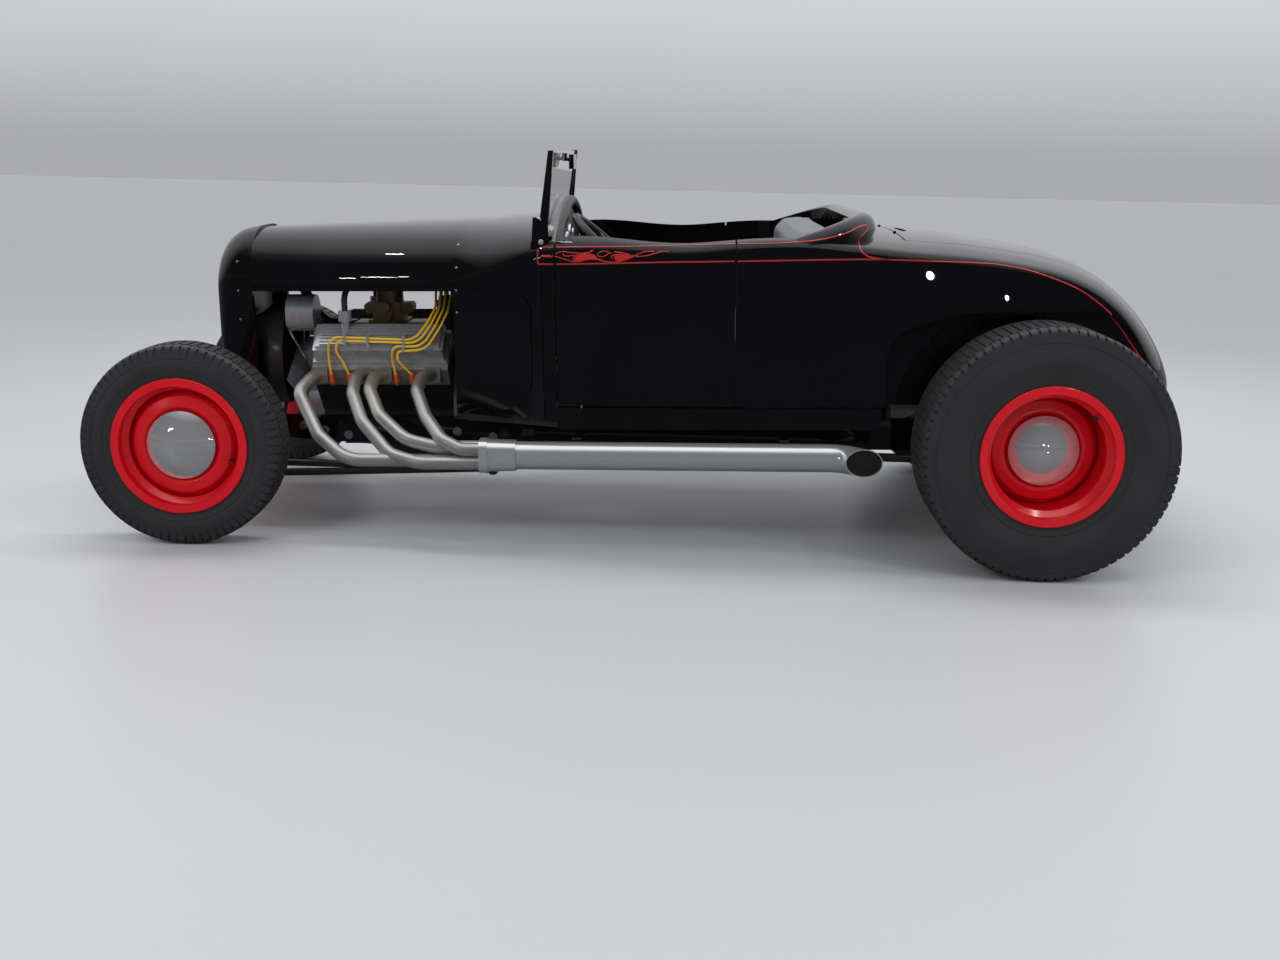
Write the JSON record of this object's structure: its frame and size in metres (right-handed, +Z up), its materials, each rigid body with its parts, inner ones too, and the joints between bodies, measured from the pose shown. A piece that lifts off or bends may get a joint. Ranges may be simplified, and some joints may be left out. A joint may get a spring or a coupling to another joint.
{
  "type": "street rod roadster",
  "caption": "Open two-seat highboy street rod with an uncovered vee engine, side exhaust pipes, small front and wide rear wheels, hinged doors and deck lid, and linked steering",
  "frame": {"origin": "centre of the footprint, on the ground", "axes": "+X to the tail, +Y to the car's right side, +Z up"},
  "size_m": [3.4491, 1.7698, 1.2265],
  "materials": {
    "paint_black": "gloss black paint",
    "chrome": "mirror polished",
    "wheel_red": "gloss red paint",
    "tyre_rubber": "matte black rubber",
    "chassis_black": "satin black paint",
    "cast_metal": "as cast",
    "engine_paint": "satin dark paint",
    "polished_alloy": "polished",
    "seat_grey": "satin grey vinyl",
    "padded_black": "satin black vinyl",
    "clear_glass": "clear",
    "lamp_red": "red lens",
    "plastic_black": "moulded black",
    "lead_yellow": "satin yellow",
    "boot_orange": "satin orange red",
    "hose_black": "satin black"
  },
  "bodies": {
    "chassis": {"belt_drive": "polished_alloy", "controls": "polished_alloy", "cowl": "paint_black", "crossmembers": "chassis_black", "cylinder_heads": "cast_metal", "dash": "padded_black", "distributor": "plastic_black", "engine_block": "engine_paint", "floor_pan": "chassis_black", "frame": "chassis_black", "front_axle": "chassis_black", "front_suspension": "chassis_black", "fuel_tank": "chassis_black", "gearbox": "cast_metal", "gearbox_tunnel": "chassis_black", "grille_bars": "chassis_black", "grille_shell": "paint_black", "headers": "chrome", "hood_top": "paint_black", "hoses": "hose_black", "intake": "polished_alloy", "plug_boots": "boot_orange", "plug_leads": "lead_yellow", "radiator": "chassis_black", "rear_axle": "chassis_black", "rear_body": "paint_black", "rear_rails": "chassis_black", "rear_suspension": "chassis_black", "seat_back": "seat_grey", "seat_cushion": "seat_grey", "seat_riser": "chassis_black", "side_pipes": "chrome", "sills": "chassis_black", "steering_column": "chassis_black", "tail_lamps": "lamp_red", "valve_covers": "polished_alloy", "windshield_glass": "clear_glass", "windshield_posts": "chassis_black"},
    "door_left": {"door_left": "paint_black"},
    "door_right": {"door_right": "paint_black"},
    "deck_lid": {"deck_lid": "paint_black"},
    "knuckle_left": {"knuckle_left": "chassis_black"},
    "knuckle_right": {"knuckle_right": "chassis_black"},
    "tie_rod": {"tie_rod": "chassis_black"},
    "steering_wheel": {"steering_wheel": "padded_black"},
    "front_road_wheel_left": {"front_tyre_left": "tyre_rubber", "front_wheel_left": "wheel_red", "front_cap_left": "chrome"},
    "front_road_wheel_right": {"front_tyre_right": "tyre_rubber", "front_wheel_right": "wheel_red", "front_cap_right": "chrome"},
    "rear_road_wheel_left": {"rear_tyre_left": "tyre_rubber", "rear_wheel_left": "wheel_red", "rear_cap_left": "chrome"},
    "rear_road_wheel_right": {"rear_tyre_right": "tyre_rubber", "rear_wheel_right": "wheel_red", "rear_cap_right": "chrome"}
  },
  "joints": [
    {"name": "steer_left", "type": "hinge", "parent": "chassis", "child": "knuckle_left", "pos_m": [-1.41157, -0.56, 0.313], "axis": [-0.0259, 0, 0.9997], "range_deg": [-30, 30]},
    {"name": "steer_right", "type": "hinge", "parent": "chassis", "child": "knuckle_right", "pos_m": [-1.41157, 0.56, 0.313], "axis": [-0.0259, 0, 0.9997], "range_deg": [-30, 30]},
    {"name": "front_roll_left", "type": "hinge", "parent": "knuckle_left", "child": "front_road_wheel_left", "pos_m": [-1.41157, -0.65, 0.313], "axis": [0, 1, 0], "continuous": true},
    {"name": "front_roll_right", "type": "hinge", "parent": "knuckle_right", "child": "front_road_wheel_right", "pos_m": [-1.41157, 0.65, 0.313], "axis": [0, 1, 0], "continuous": true},
    {"name": "rear_roll_left", "type": "hinge", "parent": "chassis", "child": "rear_road_wheel_left", "pos_m": [1.21655, -0.752, 0.381], "axis": [0, 1, 0], "continuous": true},
    {"name": "rear_roll_right", "type": "hinge", "parent": "chassis", "child": "rear_road_wheel_right", "pos_m": [1.21655, 0.752, 0.381], "axis": [0, 1, 0], "continuous": true},
    {"name": "tie_rod_pivot", "type": "hinge", "parent": "knuckle_left", "child": "tie_rod", "pos_m": [-1.26991, -0.56, 0.25064], "axis": [-0.0259, 0, 0.9997], "range_deg": [-30, 30]},
    {"name": "steering_wheel_turn", "type": "hinge", "parent": "chassis", "child": "steering_wheel", "pos_m": [-0.0939, -0.3, 0.90328], "axis": [-0.6497, 0, -0.7602], "range_deg": [-480, 480]},
    {"name": "door_right_hinge", "type": "hinge", "parent": "chassis", "child": "door_right", "pos_m": [-0.26313, 0.57605, 0.54278], "axis": [-0.0258, 0.0436, 0.9987], "range_deg": [0, 65]},
    {"name": "door_left_hinge", "type": "hinge", "parent": "chassis", "child": "door_left", "pos_m": [-0.26313, -0.57605, 0.54278], "axis": [0.0258, 0.0436, -0.9987], "range_deg": [0, 65]},
    {"name": "deck_lid_hinge", "type": "hinge", "parent": "chassis", "child": "deck_lid", "pos_m": [0.8112, 0, 0.98872], "axis": [0, -1, 0], "range_deg": [0, 55]}
  ],
  "couplings": [
    {"joint": "steer_right", "follows": "steer_left", "ratio": 1},
    {"joint": "tie_rod_pivot", "follows": "steer_left", "ratio": -1},
    {"joint": "steering_wheel_turn", "follows": "steer_left", "ratio": -16}
  ]
}
